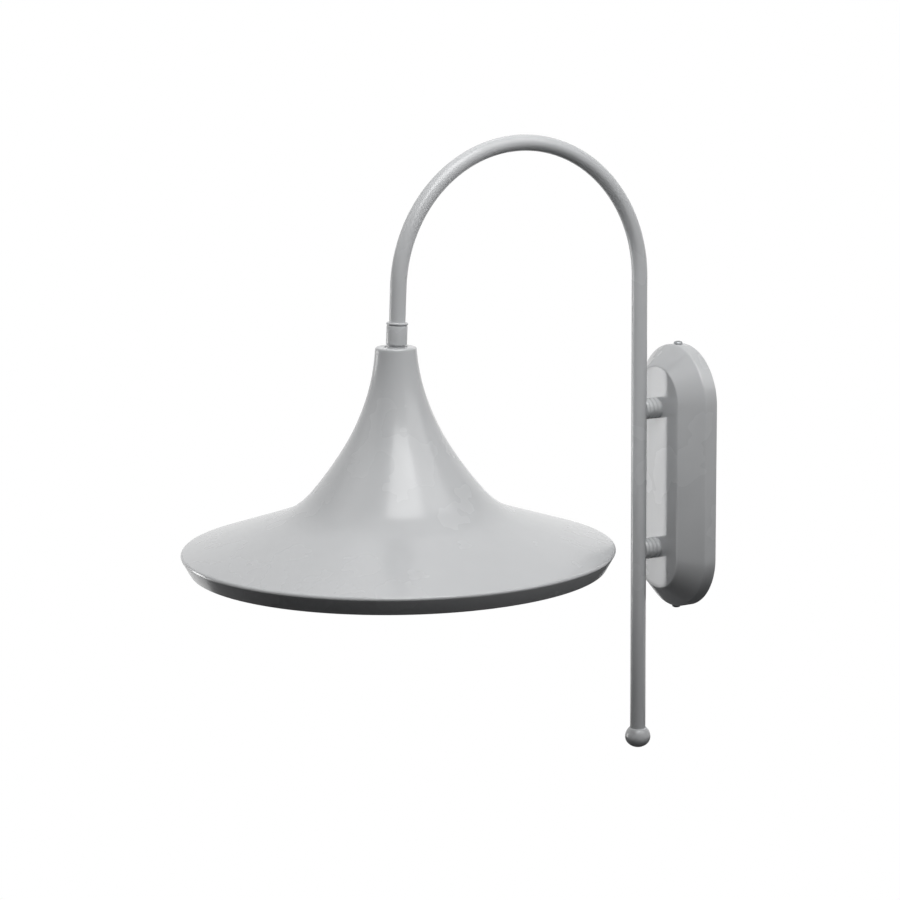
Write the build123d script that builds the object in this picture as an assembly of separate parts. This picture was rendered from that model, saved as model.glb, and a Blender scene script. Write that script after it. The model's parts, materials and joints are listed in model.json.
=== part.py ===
from build123d import *
from math import asin, atan, cos, pi, radians, sin, sqrt, tan
import os

os.makedirs("parts", exist_ok=True)

# A swan-neck wall light. The wall is the plane y = 0, the light stands out towards -Y
# and +Z is up. The origin is the centre of the bracket's back face, on the wall.
# All sizes are in millimetres and degrees.

fit_clearance = 0.1
slide_clearance = 0.2
touching = 0.01

# Canopy: an oblong dish of sheet with a straight rim, a broad slope and a flat face
canopy_width = 103.2
canopy_height = 241.9
canopy_rim_depth = 11.9
canopy_slope_depth = 17.3
canopy_slope_inset = 18.7
canopy_sheet = 1.2
canopy_rim_rounding = 3.0
canopy_face_rounding = 2.6

# Wall bracket: a steel strap with two long holes and a tapped ear at each end
strap_width = 24.0
strap_sheet = 1.6
strap_slot_spacing = 80.0
strap_slot_width = 4.5
strap_slot_length = 14.0
cable_hole_radius = 6.0
ear_width = 14.0
ear_reach = 11.0
ear_gap = 0.25
ear_bend_radius = 1.5

# Cover screws, one through each end of the canopy's rim into an ear
cover_screw_radius = 2.0
cover_screw_length = 9.0
cover_screw_y = -6.4
cover_screw_head_radius = 4.0
cover_screw_head_height = 2.6
head_crown_share = 0.6
head_slot_share = 0.4

# Terminal block on the strap, with three poles side by side
block_poles = 3
block_pitch = 8.0
block_depth = 12.0
block_height = 18.0
block_bottom = 10.5
block_side = 0.75
block_edge = 1.2
block_wire_depth = 5.0
block_groove_width = 1.0
block_groove_depth = 1.8
barrel_radius = 2.1
barrel_length = 14.0
terminal_screw_radius = 1.5
terminal_screw_length = 5.5
terminal_screw_pitch = 8.0
block_screw_radius = 1.4
block_screw_head_radius = 2.4
block_screw_head_height = 1.6
block_screw_sink = 3.0

# Earth screw on the strap, below the cable hole
earth_screw_x = 6.5
earth_screw_z = -19.0
earth_screw_radius = 2.0
earth_screw_length = 7.0
earth_head_radius = 3.8
earth_head_height = 2.6
earth_tag_radius = 4.2
earth_tag_sheet = 0.8
earth_tag_barrel_radius = 1.9
earth_tag_barrel_length = 6.0
earth_tag_lap = 1.0
earth_link_drop = 5.0
earth_link_tail = 4.0
earth_link_bend = 3.0

# Swan-neck tube: upright, an arch of a little under a half turn, and a leaning leg
tube_radius = 7.0
tube_wall = 1.0
arm_reach = 48.7
arch_radius = 122.3
arch_angle = 177.0
arch_height = 184.6
tube_foot_z = -232.0
leg_length = 40.4

# Ribbed spacers between canopy and tube, drawn up by hollow threaded nipples
spacer_pitch = 128.8
spacer_radius = 9.5
spacer_ribs = 3
spacer_rib_height = 0.9
spacer_shortest_rib = 0.8
saddle_depth = 3.5
nipple_radius = 4.0
nipple_bore = 3.0
nipple_inner_reach = 8.0
nipple_tube_reach = 0.9
nut_across_flats = 13.0
nut_thickness = 4.0
washer_radius = 8.5
washer_thickness = 1.2
bushing_wall = 0.6
bushing_flange_radius = 5.0
bushing_flange_thickness = 1.5
bushing_depth = 6.0

# Foot of the tube: a pressed plug that the ball finial screws into
plug_length = 12.0
spigot_radius = 3.0
spigot_length = 10.0
finial_radius = 11.65
finial_top_rise = 8.5
finial_bottom_drop = 9.8

# Collar on the end of the leg
collar_length = 18.95
collar_radius = 8.95
collar_lip_radius = 9.3
collar_lip_height = 2.2
collar_lip_rounding = 0.7
collar_groove_radius = 8.5
collar_groove_height = 0.8
collar_socket_depth = 10.0

# Stem below the collar: a hollow nipple with the round seat that the shade hangs on
stem_radius = 5.0
stem_bore = 3.7
stem_engagement = 8.0
seat_radius = 14.0
seat_rise = 11.5
seat_drop = 4.0
hub_radius = 7.0
hub_height = 1.8
lock_nut_across_flats = 14.0
lock_nut_thickness = 3.5

# Spun shade: sheet metal, hung loose by the rim of its neck hole
shade_sheet = 1.2
shade_hole_radius = 9.7
shade_hole_rounding = 0.9
shade_neck_radius = 17.65
shade_shoulder_rounding = 2.0
shade_neck_slope = 3.9
# the flare is a chain of arcs: the length of each, and its slope from the vertical where it ends
shade_stretch_lengths = [36.9, 51.5, 50.4, 37.7, 33.9]
shade_stretch_slopes = [16.2, 31.8, 40.8, 70.3, 72.1]
shade_rim_radius = 186.7
shade_rim_rounding = 2.2
shade_band_height = 14.4
shade_band_inset = 8.1
shade_hem_radius = 1.6
shade_hem_turn = 100.0
seat_gap = 0.2

# Screw-cap lampholder on the stem
holder_drop = 3.0
holder_boss_radius = 8.0
holder_boss_height = 5.0
holder_radius = 19.75
holder_dome_height = 12.0
holder_cap_height = 21.0
holder_wall = 1.5
holder_height = 56.0
holder_mouth_lip = 1.6
holder_ring_height = 6.0
holder_ring_step = 1.2
holder_joint_gap = 0.2
insert_height = 9.0
insert_radius = 17.0
insert_edge = 0.5
insert_well_depth = 3.0
shell_radius = 13.9
shell_wall = 0.6
shell_height = 23.0
shell_flange_radius = 15.4
contact_radius = 4.5
contact_pip_radius = 2.2
contact_pip_rounding = 1.1
contact_setback = 0.4
grub_screw_radius = 1.5
post_size = 5.0
post_circle = 7.0
post_screw_radius = 1.4
post_screw_length = 3.0
post_screw_stand = 1.0

# Insulated leads, three side by side in the tube
lead_radius = 1.0
lead_circle = 1.22
lead_rise_y = -12.0
lead_block_run = 5.0
lead_block_rise = 15.0
lead_block_bend = 4.0
lead_entry_bend = 6.0
lead_tube_bend = 5.0
lead_tube_run = 12.0
lead_spread_gap = 3.0
lead_spread_run = 2.0
lead_spread_bend = 2.0
lead_post_run = 3.0
lead_angles = {"live_lead": 210, "earth_lead": 90, "neutral_lead": 330}

up = Vector(0, 0, 1)
out = Vector(0, -1, 0)
to_wall = Vector(0, 1, 0)
base = (Align.CENTER, Align.CENTER, Align.MIN)

# Block places
block_centre_z = block_bottom + block_height / 2
block_top = block_bottom + block_height
block_width = block_poles * block_pitch + 2 * block_side
block_back_y = -strap_sheet
block_front_y = block_back_y - block_depth
block_wire_y = block_back_y - block_wire_depth
block_screw_x = block_pitch / 2
pole_places = [(i - (block_poles - 1) / 2) * block_pitch for i in range(block_poles)]

# Canopy places
canopy_depth = canopy_rim_depth + canopy_slope_depth
canopy_end_z = (canopy_height - canopy_width) / 2
slope_angle = atan(canopy_slope_inset / canopy_slope_depth)
canopy_inner_radius = canopy_width / 2 - canopy_sheet
ear_z = canopy_end_z + sqrt(canopy_inner_radius ** 2 - (ear_width / 2) ** 2) - ear_gap

# Arm places
arm_y = -arm_reach
tube_back_y = arm_y + tube_radius
tube_bore = tube_radius - tube_wall
lean = radians(180 - arch_angle)
arch_centre = Vector(0, arm_y - arch_radius, arch_height)
leg_down = Vector(0, -sin(lean), -cos(lean))
arch_end = arch_centre + Vector(0, -arch_radius * cos(lean), arch_radius * sin(lean))
leg = Plane(origin=arch_end + leg_down * leg_length, x_dir=(1, 0, 0), z_dir=leg_down * -1)
spacer_heights = (spacer_pitch / 2, -spacer_pitch / 2)
nipple_back_y = -canopy_depth + nipple_inner_reach
nipple_front_y = tube_back_y - tube_wall - nipple_tube_reach

# Heights on the leaning leg, from the tube's end upwards
collar_top = collar_socket_depth
collar_bottom = collar_top - collar_length
seat_centre = collar_bottom - hub_height - seat_rise
lock_nut_top = seat_centre - seat_drop
lock_nut_bottom = lock_nut_top - lock_nut_thickness
holder_top = lock_nut_bottom - holder_drop
stem_bottom = holder_top - holder_boss_height
cap_bottom = holder_top - holder_cap_height
holder_mouth = holder_top - holder_height
insert_top = cap_bottom
insert_bottom = insert_top - insert_height
shell_bottom = insert_bottom - shell_height
post_top = insert_top + post_size
shell_bore = shell_radius - shell_wall
tag_barrel_z = earth_screw_z + earth_tag_radius - earth_tag_lap
tag_barrel_y = -strap_sheet - earth_tag_barrel_radius

# The shade hangs plumb on the seat, so its axis is the vertical through the seat's centre
seat_point = leg.from_local_coords(Vector(0, 0, seat_centre))
seat_contact_rise = sqrt(seat_radius ** 2 - shade_hole_radius ** 2)
shade_top_z = seat_point.Z + seat_contact_rise + seat_gap * seat_radius / seat_contact_rise + shade_sheet


def cylinder(start, direction, radius, length):
    return Plane(origin=start, z_dir=direction) * Cylinder(radius, length, align=base)


def hexagon(start, direction, across_flats, length):
    outline = RegularPolygon(across_flats / 2, 6, major_radius=False)
    return extrude(Plane(origin=start, z_dir=direction) * outline, length)


def turned_face(face):
    return revolve(Plane.XZ * face, Axis.Z)


def turned(outline):
    # A solid turned about the Z axis from a closed outline in radius and height.
    return turned_face(make_face(outline))


def polyline(*points):
    return Polyline(*points, close=True)


def on_leg(solid):
    return leg * solid


def pan_head_screw(start, direction, radius, length, head_radius, head_height):
    # The start is the underside of the head; the shank runs along the direction.
    head = cylinder(start, direction * -1, head_radius, head_height)
    crown = head.edges().filter_by(GeomType.CIRCLE).sort_by_distance(start)[-1]
    head = fillet(crown, head_height * head_crown_share)
    turn = Plane(origin=start - direction * head_height, z_dir=direction)
    slot = turn * Box(2 * head_radius, head_height * head_slot_share, head_height)
    return head + cylinder(start, direction, radius, length) - slot


def wall_bracket():
    flat = (Align.CENTER, Align.MAX, Align.CENTER)
    strap = Box(strap_width, strap_sheet, 2 * (ear_z - strap_width / 2), align=flat)
    neck = Box(ear_width, strap_sheet, 2 * ear_z, align=flat)
    bracket = strap + neck
    for side in (1, -1):
        ear = Box(ear_width, ear_reach, strap_sheet, align=(Align.CENTER, Align.MAX, Align.MAX))
        ear = Pos(0, 0, ear_z) * ear
        if side < 0:
            ear = mirror(ear, Plane.XY)
        bracket += ear
    bends = bracket.edges().filter_by(Axis.X).filter_by(
        lambda e: abs(e.center().Y) < touching and abs(e.center().Z) > ear_z - touching)
    bracket = fillet(bends, ear_bend_radius)
    for side in (1, -1):
        slot = SlotOverall(strap_slot_length, strap_slot_width, rotation=90)
        slot = Pos(0, 0, side * strap_slot_spacing / 2) * (Plane.XZ * slot)
        bracket -= extrude(slot, strap_sheet)
        screw_hole = cylinder((0, cover_screw_y, 0), up * side, cover_screw_radius, ear_z)
        bracket -= screw_hole
    bracket -= cylinder((0, 0, 0), out, cable_hole_radius, strap_sheet)
    bracket -= cylinder((block_screw_x, 0, block_centre_z), out, block_screw_radius, strap_sheet)
    bracket -= cylinder((earth_screw_x, 0, earth_screw_z), out, earth_screw_radius, strap_sheet)
    return bracket


def canopy_section(inset):
    # Half of the dish's outline, from the wall to the middle of its face.
    edge = canopy_width / 2 - inset
    rim = canopy_rim_depth - inset * tan(slope_angle / 2)
    face_edge = canopy_width / 2 - canopy_slope_inset - inset * tan((radians(90) - slope_angle) / 2)
    face = canopy_depth - inset
    roundings = (canopy_rim_rounding - inset, canopy_face_rounding - inset)
    return FilletPolyline((edge, 0), (edge, -rim), (face_edge, -face), (0, -face), radius=roundings)


def canopy_cover():
    outer = canopy_section(0)
    inner = canopy_section(canopy_sheet)
    rim_edge = Line(outer @ 0, inner @ 0)
    face_middle = Line(outer @ 1, inner @ 1)
    half = make_face([outer, face_middle, inner, rim_edge])
    section = half + mirror(half, Plane.YZ)
    cover = Pos(0, 0, -canopy_end_z) * extrude(section, 2 * canopy_end_z)
    end = revolve(half, Axis.Y, 180)
    for side in (1, -1):
        turned_end = end if end.center().Z * side > 0 else mirror(end, Plane.XY)
        cover += Pos(0, 0, side * canopy_end_z) * turned_end
        hole_radius = cover_screw_radius + slide_clearance
        cover -= cylinder((0, cover_screw_y, 0), up * side, hole_radius, canopy_height)
    for z in spacer_heights:
        cover -= cylinder((0, 0, z), out, nipple_radius + fit_clearance, 2 * canopy_depth)
    return cover


def cover_screws():
    head_z = canopy_height / 2
    return [
        pan_head_screw(Vector(0, cover_screw_y, side * head_z), up * -side, cover_screw_radius,
                       cover_screw_length, cover_screw_head_radius, cover_screw_head_height)
        for side in (1, -1)
    ]


def terminal_block():
    body = Box(block_width, block_depth, block_height, align=(Align.CENTER, Align.MAX, Align.MIN))
    front = body.faces().sort_by(Axis.Y)[0]
    body = chamfer(front.edges(), block_edge)
    block = Pos(0, block_back_y, block_bottom) * body
    at_front = (Align.CENTER, Align.MIN, Align.MIN)
    groove = Box(block_groove_width, block_groove_depth, block_height, align=at_front)
    for x in pole_places:
        block -= cylinder((x, block_wire_y, block_bottom), up, barrel_radius + fit_clearance, block_height)
        for z in terminal_screw_heights():
            block -= cylinder((x, block_front_y, z), to_wall, terminal_screw_radius + fit_clearance,
                              block_wire_y - block_front_y)
    for x in pole_places[:-1]:
        block -= Pos(x + block_pitch / 2, block_front_y, block_bottom) * groove
    front = (block_screw_x, block_front_y, block_centre_z)
    block -= cylinder(front, to_wall, block_screw_radius + fit_clearance, block_depth)
    return block - cylinder(front, to_wall, block_screw_head_radius + fit_clearance, block_screw_sink)


def terminal_screw_heights():
    return (block_centre_z + terminal_screw_pitch / 2, block_centre_z - terminal_screw_pitch / 2)


def terminal_barrels():
    barrels = []
    for x in pole_places:
        start = (x, block_wire_y, block_centre_z - barrel_length / 2)
        barrel = cylinder(start, up, barrel_radius, barrel_length)
        for z in terminal_screw_heights():
            depth = block_wire_y - block_front_y
            barrel -= cylinder((x, block_front_y, z), to_wall, terminal_screw_radius, depth)
        barrels.append(barrel)
    return barrels


def terminal_screws():
    return [
        cylinder((x, block_wire_y, z), out, terminal_screw_radius, terminal_screw_length)
        for x in pole_places for z in terminal_screw_heights()
    ]


def block_screw():
    seat_y = block_front_y + block_screw_sink
    return pan_head_screw(Vector(block_screw_x, seat_y, block_centre_z), to_wall, block_screw_radius,
                          -seat_y, block_screw_head_radius, block_screw_head_height)


def earth_tag():
    seat = Vector(earth_screw_x, -strap_sheet, earth_screw_z)
    ring = cylinder(seat, out, earth_tag_radius, earth_tag_sheet)
    barrel_start = (earth_screw_x, tag_barrel_y, tag_barrel_z)
    tag = ring + cylinder(barrel_start, up, earth_tag_barrel_radius, earth_tag_barrel_length)
    tag -= cylinder(seat, out, earth_head_radius, 2 * earth_tag_barrel_radius)
    ring -= cylinder(seat, out, earth_screw_radius + fit_clearance, earth_tag_sheet)
    return tag + ring


def earth_screw():
    head_seat = Vector(earth_screw_x, -strap_sheet - earth_tag_sheet, earth_screw_z)
    return pan_head_screw(head_seat, to_wall, earth_screw_radius, strap_sheet + earth_tag_sheet,
                          earth_head_radius - fit_clearance, earth_head_height)


def tube_path(inset=0.0, x=0.0, bottom_z=tube_foot_z, leg_end=0.0):
    # The arm's centre line, or a line beside it drawn in towards the arch's centre.
    radius = arch_radius - inset
    centre = arch_centre + Vector(x, 0, 0)
    foot = Vector(x, arm_y - inset, bottom_z)
    start = centre + Vector(0, radius, 0)
    crown = centre + Vector(0, 0, radius)
    finish = centre + Vector(0, -radius * cos(lean), radius * sin(lean))
    end = finish + leg_down * (leg_length - leg_end)
    return [Line(foot, start), ThreePointArc(start, crown, finish), Line(finish, end)]


def swept(radius, edges):
    path = Wire(edges)
    section = Plane(origin=path @ 0, z_dir=path % 0) * Circle(radius)
    return sweep(section, path=path)


def arm_tube():
    tube = swept(tube_radius, tube_path()) - swept(tube_bore, tube_path())
    for z in spacer_heights:
        tube -= cylinder((0, arm_y, z), to_wall, nipple_radius, tube_radius)
    return tube


def ribbed_spacer(z):
    seat_y = -canopy_depth
    length = seat_y - tube_back_y + saddle_depth
    rib = (seat_y - tube_back_y) / spacer_ribs
    groove_radius = spacer_radius - spacer_rib_height
    turns = []
    place = 0.0
    while place < length - spacer_shortest_rib:
        ending = min(place + rib, length)
        crest = (spacer_radius, (place + ending) / 2)
        turns.append(ThreePointArc((groove_radius, place), crest, (groove_radius, ending)))
        place = ending
    closing = Polyline((groove_radius, place), (0, place), (0, 0), (groove_radius, 0))
    solid = turned([*turns, closing])
    spacer = Plane(origin=(0, seat_y, z), z_dir=out) * solid
    spacer -= cylinder((0, arm_y, z - 2 * spacer_radius), up, tube_radius, 4 * spacer_radius)
    return spacer - cylinder((0, seat_y, z), out, nipple_radius + fit_clearance, length + tube_radius)


def hollow_nipples():
    length = nipple_back_y - nipple_front_y
    nipples = []
    for z in spacer_heights:
        start = (0, nipple_front_y, z)
        body = cylinder(start, to_wall, nipple_radius, length)
        nipples.append(body - cylinder(start, to_wall, nipple_bore, length))
    return nipples


def nipple_washers():
    start_y = -canopy_depth + canopy_sheet
    washers = []
    for z in spacer_heights:
        start = (0, start_y, z)
        disc = cylinder(start, to_wall, washer_radius, washer_thickness)
        hole = cylinder(start, to_wall, nipple_radius + fit_clearance, washer_thickness)
        washers.append(disc - hole)
    return washers


def nipple_nuts():
    start_y = -canopy_depth + canopy_sheet + washer_thickness
    nuts = []
    for z in spacer_heights:
        body = hexagon((0, start_y, z), to_wall, nut_across_flats, nut_thickness)
        nuts.append(body - cylinder((0, start_y, z), to_wall, nipple_radius, nut_thickness))
    return nuts


def nipple_bushing():
    sleeve_radius = nipple_bore - fit_clearance / 2
    start = Vector(0, nipple_back_y, spacer_heights[0])
    flange = cylinder(start, to_wall, bushing_flange_radius, bushing_flange_thickness)
    back_edge = flange.edges().filter_by(GeomType.CIRCLE).sort_by(Axis.Y)[-1]
    flange = fillet(back_edge, bushing_flange_thickness / 2)
    sleeve = cylinder(start, out, sleeve_radius, bushing_depth)
    bore_start = start + out * bushing_depth
    bore_length = bushing_depth + bushing_flange_thickness
    return flange + sleeve - cylinder(bore_start, to_wall, sleeve_radius - bushing_wall, bore_length)


def tube_foot_plug():
    start = Vector(0, arm_y, tube_foot_z)
    plug = cylinder(start, up, tube_bore, plug_length)
    return plug - cylinder(start, up, spigot_radius, plug_length)


def ball_finial():
    shoulder_radius = sqrt(finial_radius ** 2 - finial_top_rise ** 2)
    upper_side = CenterArc((0, 0), finial_radius, 0, asin(finial_top_rise / finial_radius) * 180 / pi)
    lower = EllipticalCenterArc((0, 0), finial_radius, finial_bottom_drop, start_angle=270, arc_size=90)
    axis_side = Polyline((shoulder_radius, finial_top_rise), (0, finial_top_rise), (0, -finial_bottom_drop))
    ball = turned([lower, upper_side, axis_side])
    ball = Pos(0, arm_y, tube_foot_z - finial_top_rise) * ball
    return ball + cylinder((0, arm_y, tube_foot_z), up, spigot_radius, spigot_length)


def collar():
    lip_bottom = collar_top - collar_lip_height
    groove_bottom = lip_bottom - collar_groove_height
    outline = polyline(
        (0, collar_bottom), (collar_radius, collar_bottom), (collar_radius, groove_bottom),
        (collar_groove_radius, groove_bottom), (collar_groove_radius, lip_bottom),
        (collar_lip_radius, lip_bottom), (collar_lip_radius, collar_top), (0, collar_top),
    )
    body = turned(outline)
    circles = body.edges().filter_by(GeomType.CIRCLE)
    lip = circles.filter_by(lambda e: abs(e.radius - collar_lip_radius) < touching)
    body = fillet(lip, collar_lip_rounding)
    body -= cylinder((0, 0, 0), up, tube_radius, collar_top)
    body -= cylinder((0, 0, collar_bottom), up, stem_radius, collar_length)
    return on_leg(body)


def stem_nipple():
    length = collar_bottom + stem_engagement - stem_bottom
    body = cylinder((0, 0, stem_bottom), up, stem_radius, length)
    return on_leg(body - cylinder((0, 0, stem_bottom), up, stem_bore, length))


def shade_seat():
    top_radius = sqrt(seat_radius ** 2 - seat_rise ** 2)
    bottom_radius = sqrt(seat_radius ** 2 - seat_drop ** 2)
    dome = ThreePointArc((bottom_radius, -seat_drop), (seat_radius, 0), (top_radius, seat_rise))
    hub_top = seat_rise + hub_height
    hub = Polyline((top_radius, seat_rise), (hub_radius, seat_rise), (hub_radius, hub_top), (0, hub_top))
    closing = Polyline((0, hub_top), (0, -seat_drop), (bottom_radius, -seat_drop))
    seat = Pos(0, 0, seat_centre) * turned([dome, hub, closing])
    return on_leg(seat - cylinder((0, 0, lock_nut_top), up, stem_radius, collar_bottom - lock_nut_top))


def stem_lock_nut():
    nut = hexagon((0, 0, lock_nut_bottom), up, lock_nut_across_flats, lock_nut_thickness)
    return on_leg(nut - cylinder((0, 0, lock_nut_bottom), up, stem_radius, lock_nut_thickness))


def shade_outline():
    # The outer side of the sheet, from the neck hole out and down to the hem. Each stretch
    # of the flare is an arc that leaves the last one in its own direction.
    slope = radians(shade_neck_slope)
    point = Vector(shade_neck_radius, -shade_shoulder_rounding)
    shoulder = JernArc(start=point, tangent=(-sin(slope), cos(slope)), radius=shade_shoulder_rounding,
                       arc_size=90 - shade_neck_slope)
    edges = [Line((shade_hole_radius, (shoulder @ 1).Y), shoulder @ 1), shoulder]
    for length, next_slope in zip(shade_stretch_lengths, shade_stretch_slopes):
        turn = radians(next_slope) - slope
        arc = JernArc(start=point, tangent=(sin(slope), -cos(slope)), radius=length / turn,
                      arc_size=turn * 180 / pi)
        edges.append(arc)
        point = arc @ 1
        slope = radians(next_slope)
    crease = point + Vector(sin(slope), -cos(slope)) * ((shade_rim_radius - point.X) / sin(slope))
    band_end = crease - Vector(shade_band_inset, shade_band_height)
    edges.extend(FilletPolyline(point, crease, band_end, radius=shade_rim_rounding).edges())
    edges.append(JernArc(start=band_end, tangent=band_end - crease, radius=shade_hem_radius,
                         arc_size=-shade_hem_turn))
    return edges


def shade():
    outer = Wire(shade_outline())
    sheet = make_face(outer.offset_2d(shade_sheet, side=Side.RIGHT, closed=True))
    body = turned_face(sheet)
    circles = body.edges().filter_by(GeomType.CIRCLE)
    hole_edges = circles.filter_by(lambda e: abs(e.radius - shade_hole_radius) < touching)
    body = fillet(hole_edges.sort_by(Axis.Z)[-1], shade_hole_rounding)
    return Pos(0, seat_point.Y, shade_top_z - body.bounding_box().max.Z) * body


def holder_cap():
    boss_bottom = -holder_boss_height
    dome_bottom = boss_bottom - holder_dome_height
    outer = [
        Polyline((0, 0), (holder_boss_radius, 0), (holder_boss_radius, boss_bottom)),
        EllipticalCenterArc((holder_boss_radius, dome_bottom), holder_radius - holder_boss_radius,
                            holder_dome_height, start_angle=0, arc_size=90),
        Polyline((holder_radius, dome_bottom), (holder_radius, -holder_cap_height), (0, -holder_cap_height),
                 (0, 0)),
    ]
    inner_radius = holder_radius - holder_wall
    inner_top = boss_bottom - holder_wall
    inner = [
        Polyline((0, inner_top), (holder_boss_radius, inner_top)),
        EllipticalCenterArc((holder_boss_radius, dome_bottom), inner_radius - holder_boss_radius,
                            holder_dome_height - holder_wall, start_angle=0, arc_size=90),
        Polyline((inner_radius, dome_bottom), (inner_radius, -holder_cap_height), (0, -holder_cap_height),
                 (0, inner_top)),
    ]
    cap = Pos(0, 0, holder_top) * (turned(outer) - turned(inner))
    cap -= cylinder((0, 0, inner_top + holder_top), up, stem_radius, -inner_top)
    grub_z = holder_top - holder_boss_height / 2
    cap -= cylinder((0, 0, grub_z), Vector(1, 0, 0), grub_screw_radius, holder_boss_radius)
    return on_leg(cap)


def holder_grub_screw():
    grub_z = holder_top - holder_boss_height / 2
    length = holder_boss_radius - stem_radius
    return on_leg(cylinder((stem_radius, 0, grub_z), Vector(1, 0, 0), grub_screw_radius, length))


def holder_skirt():
    top = cap_bottom - holder_joint_gap
    lip_radius = shell_flange_radius
    ring_top = holder_mouth + holder_ring_height
    ring_radius = holder_radius + holder_ring_step
    outline = polyline(
        (holder_radius - holder_wall, top), (holder_radius, top), (holder_radius, ring_top),
        (ring_radius, ring_top - holder_ring_step), (ring_radius, holder_mouth),
        (lip_radius, holder_mouth), (lip_radius, holder_mouth + holder_mouth_lip),
        (holder_radius - holder_wall, holder_mouth + holder_mouth_lip),
    )
    return on_leg(turned(outline))


def holder_insert():
    body = cylinder((0, 0, insert_bottom), up, insert_radius, insert_height)
    body = chamfer(body.edges().filter_by(GeomType.CIRCLE), insert_edge)
    body -= cylinder((0, 0, insert_bottom), up, shell_radius, insert_well_depth)
    body -= cylinder((0, 0, insert_bottom + insert_well_depth), up, lead_radius, insert_height)
    return on_leg(body)


def screw_shell():
    body = cylinder((0, 0, shell_bottom), up, shell_radius, shell_height)
    flange_bottom = insert_bottom - shell_wall
    body += cylinder((0, 0, flange_bottom), up, shell_flange_radius, shell_wall)
    body -= cylinder((0, 0, shell_bottom), up, shell_bore, shell_height)
    return on_leg(body)


def centre_contact():
    start_z = insert_bottom + insert_well_depth
    base_plate = cylinder((0, 0, start_z), up * -1, contact_radius, shell_wall)
    pip = cylinder((0, 0, start_z), up * -1, contact_pip_radius, insert_well_depth - contact_setback)
    tip = pip.edges().filter_by(GeomType.CIRCLE).sort_by(Axis.Z)[0]
    return on_leg(base_plate + fillet(tip, contact_pip_rounding))


def around_posts(piece):
    return [on_leg(Rot(0, 0, angle) * piece) for angle in lead_angles.values()]


def holder_posts():
    post = Box(post_size, post_size, post_size, align=base)
    post -= cylinder((0, 0, post_size / 2), Vector(1, 0, 0), post_screw_radius, post_size)
    return around_posts(Pos(post_circle, 0, insert_top) * post)


def holder_post_screws():
    start_x = post_circle + post_size / 2 + post_screw_stand - post_screw_length
    start = (start_x, 0, insert_top + post_size / 2)
    return around_posts(cylinder(start, Vector(1, 0, 0), post_screw_radius, post_screw_length))


def lead(name, pole):
    # Terminal block, upper nipple, round the arch and down the stem to a post.
    angle = radians(lead_angles[name])
    x = lead_circle * cos(angle)
    inset = lead_circle * sin(angle)
    entry_z = spacer_heights[0] - inset
    rise_y = lead_rise_y - inset
    pole_x = pole_places[pole]
    start_z = block_centre_z + barrel_length / 2
    tube_y = arm_y - inset
    run_z = entry_z + lead_tube_run
    riser = FilletPolyline(
        (pole_x, block_wire_y, start_z), (pole_x, block_wire_y, block_top + lead_block_run),
        (x, rise_y, block_top + lead_block_rise), (x, rise_y, entry_z), (x, tube_y, entry_z),
        (x, tube_y, run_z),
        radius=[lead_block_bend, lead_block_bend, lead_entry_bend - inset, lead_tube_bend + inset],
    )
    spread_top = stem_bottom - lead_spread_gap
    run = tube_path(inset, x, run_z, spread_top)
    post_x = post_circle * cos(angle)
    post_y = post_circle * sin(angle)
    tail = [
        Vector(x, inset, spread_top), Vector(x, inset, spread_top - lead_spread_run),
        Vector(post_x, post_y, post_top + lead_post_run), Vector(post_x, post_y, post_top),
    ]
    tail = [leg.from_local_coords(point) for point in tail]
    tail_line = FilletPolyline(*tail, radius=[lead_spread_bend] * 2)
    return swept(lead_radius, [*riser.edges(), *run, *tail_line.edges()])


def earth_link():
    # A short lead from the block's earth pole to the tag on the strap.
    start_z = block_centre_z - barrel_length / 2
    tag_top = tag_barrel_z + earth_tag_barrel_length
    pole_x = pole_places[block_poles // 2]
    route = FilletPolyline(
        (pole_x, block_wire_y, start_z), (pole_x, block_wire_y, block_bottom - earth_link_drop),
        (earth_screw_x, tag_barrel_y, tag_top + earth_link_tail), (earth_screw_x, tag_barrel_y, tag_top),
        radius=[earth_link_bend] * 2,
    )
    return swept(lead_radius, route.edges())


pieces = {
    "wall_bracket": wall_bracket(),
    "earth_screw": earth_screw(),
    "earth_tag": earth_tag(),
    "terminal_block": terminal_block(),
    "terminal_barrels": terminal_barrels(),
    "terminal_screws": terminal_screws(),
    "block_screw": block_screw(),
    "earth_link": earth_link(),
    "canopy_cover": canopy_cover(),
    "cover_screws": cover_screws(),
    "upper_spacer": ribbed_spacer(spacer_heights[0]),
    "lower_spacer": ribbed_spacer(spacer_heights[1]),
    "hollow_nipples": hollow_nipples(),
    "nipple_washers": nipple_washers(),
    "nipple_nuts": nipple_nuts(),
    "nipple_bushing": nipple_bushing(),
    "arm_tube": arm_tube(),
    "tube_foot_plug": tube_foot_plug(),
    "ball_finial": ball_finial(),
    "collar": collar(),
    "stem_nipple": stem_nipple(),
    "shade_seat": shade_seat(),
    "stem_lock_nut": stem_lock_nut(),
    "shade": shade(),
    "holder_cap": holder_cap(),
    "holder_grub_screw": holder_grub_screw(),
    "holder_skirt": holder_skirt(),
    "holder_insert": holder_insert(),
    "screw_shell": screw_shell(),
    "centre_contact": centre_contact(),
    "holder_posts": holder_posts(),
    "holder_post_screws": holder_post_screws(),
}
for pole, name in enumerate(lead_angles):
    pieces[name] = lead(name, pole)

for name, piece in pieces.items():
    solids = piece if isinstance(piece, list) else [piece]
    export_step(Compound([solid for body in solids for solid in body.solids()]), f"parts/{name}.step")
    print(name, round(sum(body.volume for body in solids), 1))
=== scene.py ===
import json
import math

import bpy
from mathutils import Matrix, Vector


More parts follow.
